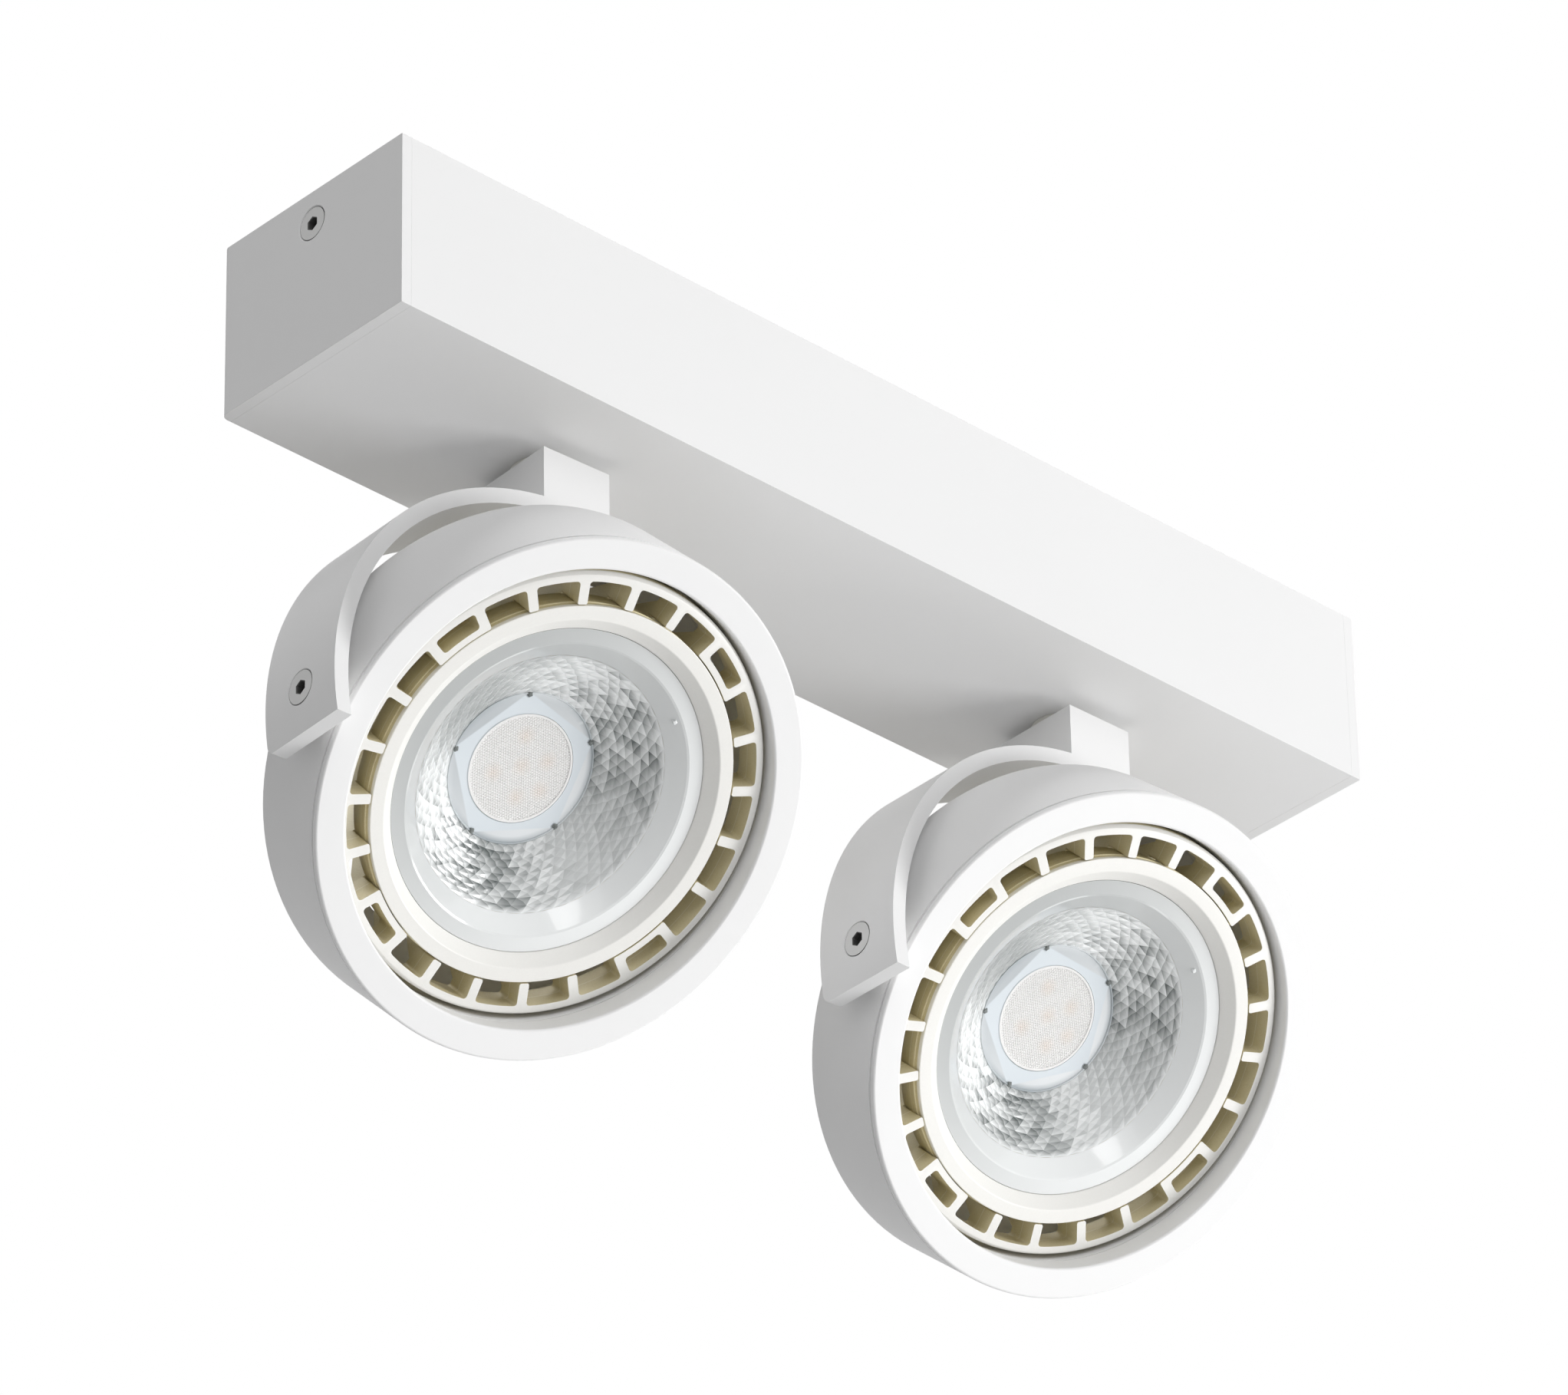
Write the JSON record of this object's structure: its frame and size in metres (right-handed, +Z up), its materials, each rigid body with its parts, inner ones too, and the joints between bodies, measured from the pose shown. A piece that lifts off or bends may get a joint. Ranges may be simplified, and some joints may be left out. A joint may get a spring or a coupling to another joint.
{
  "type": "surface spotlight",
  "caption": "Ceiling spotlight: a slim box canopy carries round recessed lamp heads, each swivelling and tilting on one curved arm.",
  "frame": {"origin": "middle of the canopy in the plane of the ceiling, midway between the fixing holes", "axes": "+X along the canopy to its right end, -Y towards the long face that the lamps lean to, +Z up into the ceiling"},
  "size_m": [0.32, 0.1089, 0.1915],
  "materials": {
    "white_paint": "fine-textured white powder coat",
    "white_screws": "white coated steel screws",
    "zinc_steel": "bright zinc plate",
    "dark_rubber": "smooth moulded rubber",
    "ivory_plastic": "fine-grained moulded plastic",
    "circuit_board": "green solder resist",
    "white_plastic": "natural nylon",
    "brass": "turned brass",
    "cream_paint": "satin cream paint on die-cast aluminium",
    "clear_optic": "clear moulded optic",
    "warm_diffuser": "honeycomb of small clear cells over warm light chips",
    "light_board": "white-coated board with yellow chips",
    "ceramic": "unglazed ceramic"
  },
  "bodies": {
    "canopy": {"canopy_body": "white_paint", "left_end_cap": "white_paint", "right_end_cap": "white_paint", "ceiling_bracket": "zinc_steel", "bracket_nuts": "zinc_steel", "end_screws": "white_screws", "cable_grommet": "dark_rubber", "stop_pins": "zinc_steel", "driver_case": "ivory_plastic", "driver_lid": "ivory_plastic", "driver_board": "circuit_board", "driver_nuts": "zinc_steel", "terminal_block": "white_plastic", "terminal_screws": "brass", "earth_nut": "brass", "earth_washer": "brass"},
    "left_yoke": {"left_yoke": "white_paint", "left_stem": "zinc_steel", "left_spacer": "white_plastic", "left_stop_washer": "zinc_steel", "left_disc_spring": "zinc_steel", "left_stem_nut": "zinc_steel", "left_lead_bush": "dark_rubber"},
    "left_head": {"left_head_shell": "white_paint", "left_front_ring": "white_paint", "left_pivot_screw": "white_screws", "left_pivot_washer": "white_plastic", "left_lamp_clips": "zinc_steel", "left_clip_rivets": "zinc_steel", "left_heat_sink": "cream_paint", "left_lamp_trim": "cream_paint", "left_lens": "clear_optic", "left_diffuser": "warm_diffuser", "left_light_board": "light_board", "left_lamp_base": "ivory_plastic", "left_contact_blades": "brass", "left_lampholder": "ceramic"},
    "right_yoke": {"right_yoke": "white_paint", "right_stem": "zinc_steel", "right_spacer": "white_plastic", "right_stop_washer": "zinc_steel", "right_disc_spring": "zinc_steel", "right_stem_nut": "zinc_steel", "right_lead_bush": "dark_rubber"},
    "right_head": {"right_head_shell": "white_paint", "right_front_ring": "white_paint", "right_pivot_screw": "white_screws", "right_pivot_washer": "white_plastic", "right_lamp_clips": "zinc_steel", "right_clip_rivets": "zinc_steel", "right_heat_sink": "cream_paint", "right_lamp_trim": "cream_paint", "right_lens": "clear_optic", "right_diffuser": "warm_diffuser", "right_light_board": "light_board", "right_lamp_base": "ivory_plastic", "right_contact_blades": "brass", "right_lampholder": "ceramic"}
  },
  "joints": [
    {"name": "left_pan", "type": "hinge", "parent": "canopy", "child": "left_yoke", "pos_m": [-0.087, 0, -0.0495], "axis": [0, 0, 1], "range_deg": [-167, 173]},
    {"name": "left_tilt", "type": "hinge", "parent": "left_yoke", "child": "left_head", "pos_m": [-0.087, 0, -0.1365], "axis": [0.9986, -0.0523, 0], "range_deg": [-44, 46]},
    {"name": "right_pan", "type": "hinge", "parent": "canopy", "child": "right_yoke", "pos_m": [0.087, 0, -0.0495], "axis": [0, 0, 1], "range_deg": [-169, 171]},
    {"name": "right_tilt", "type": "hinge", "parent": "right_yoke", "child": "right_head", "pos_m": [0.087, 0, -0.1365], "axis": [0.9998, -0.0175, 0], "range_deg": [-40, 50]}
  ]
}
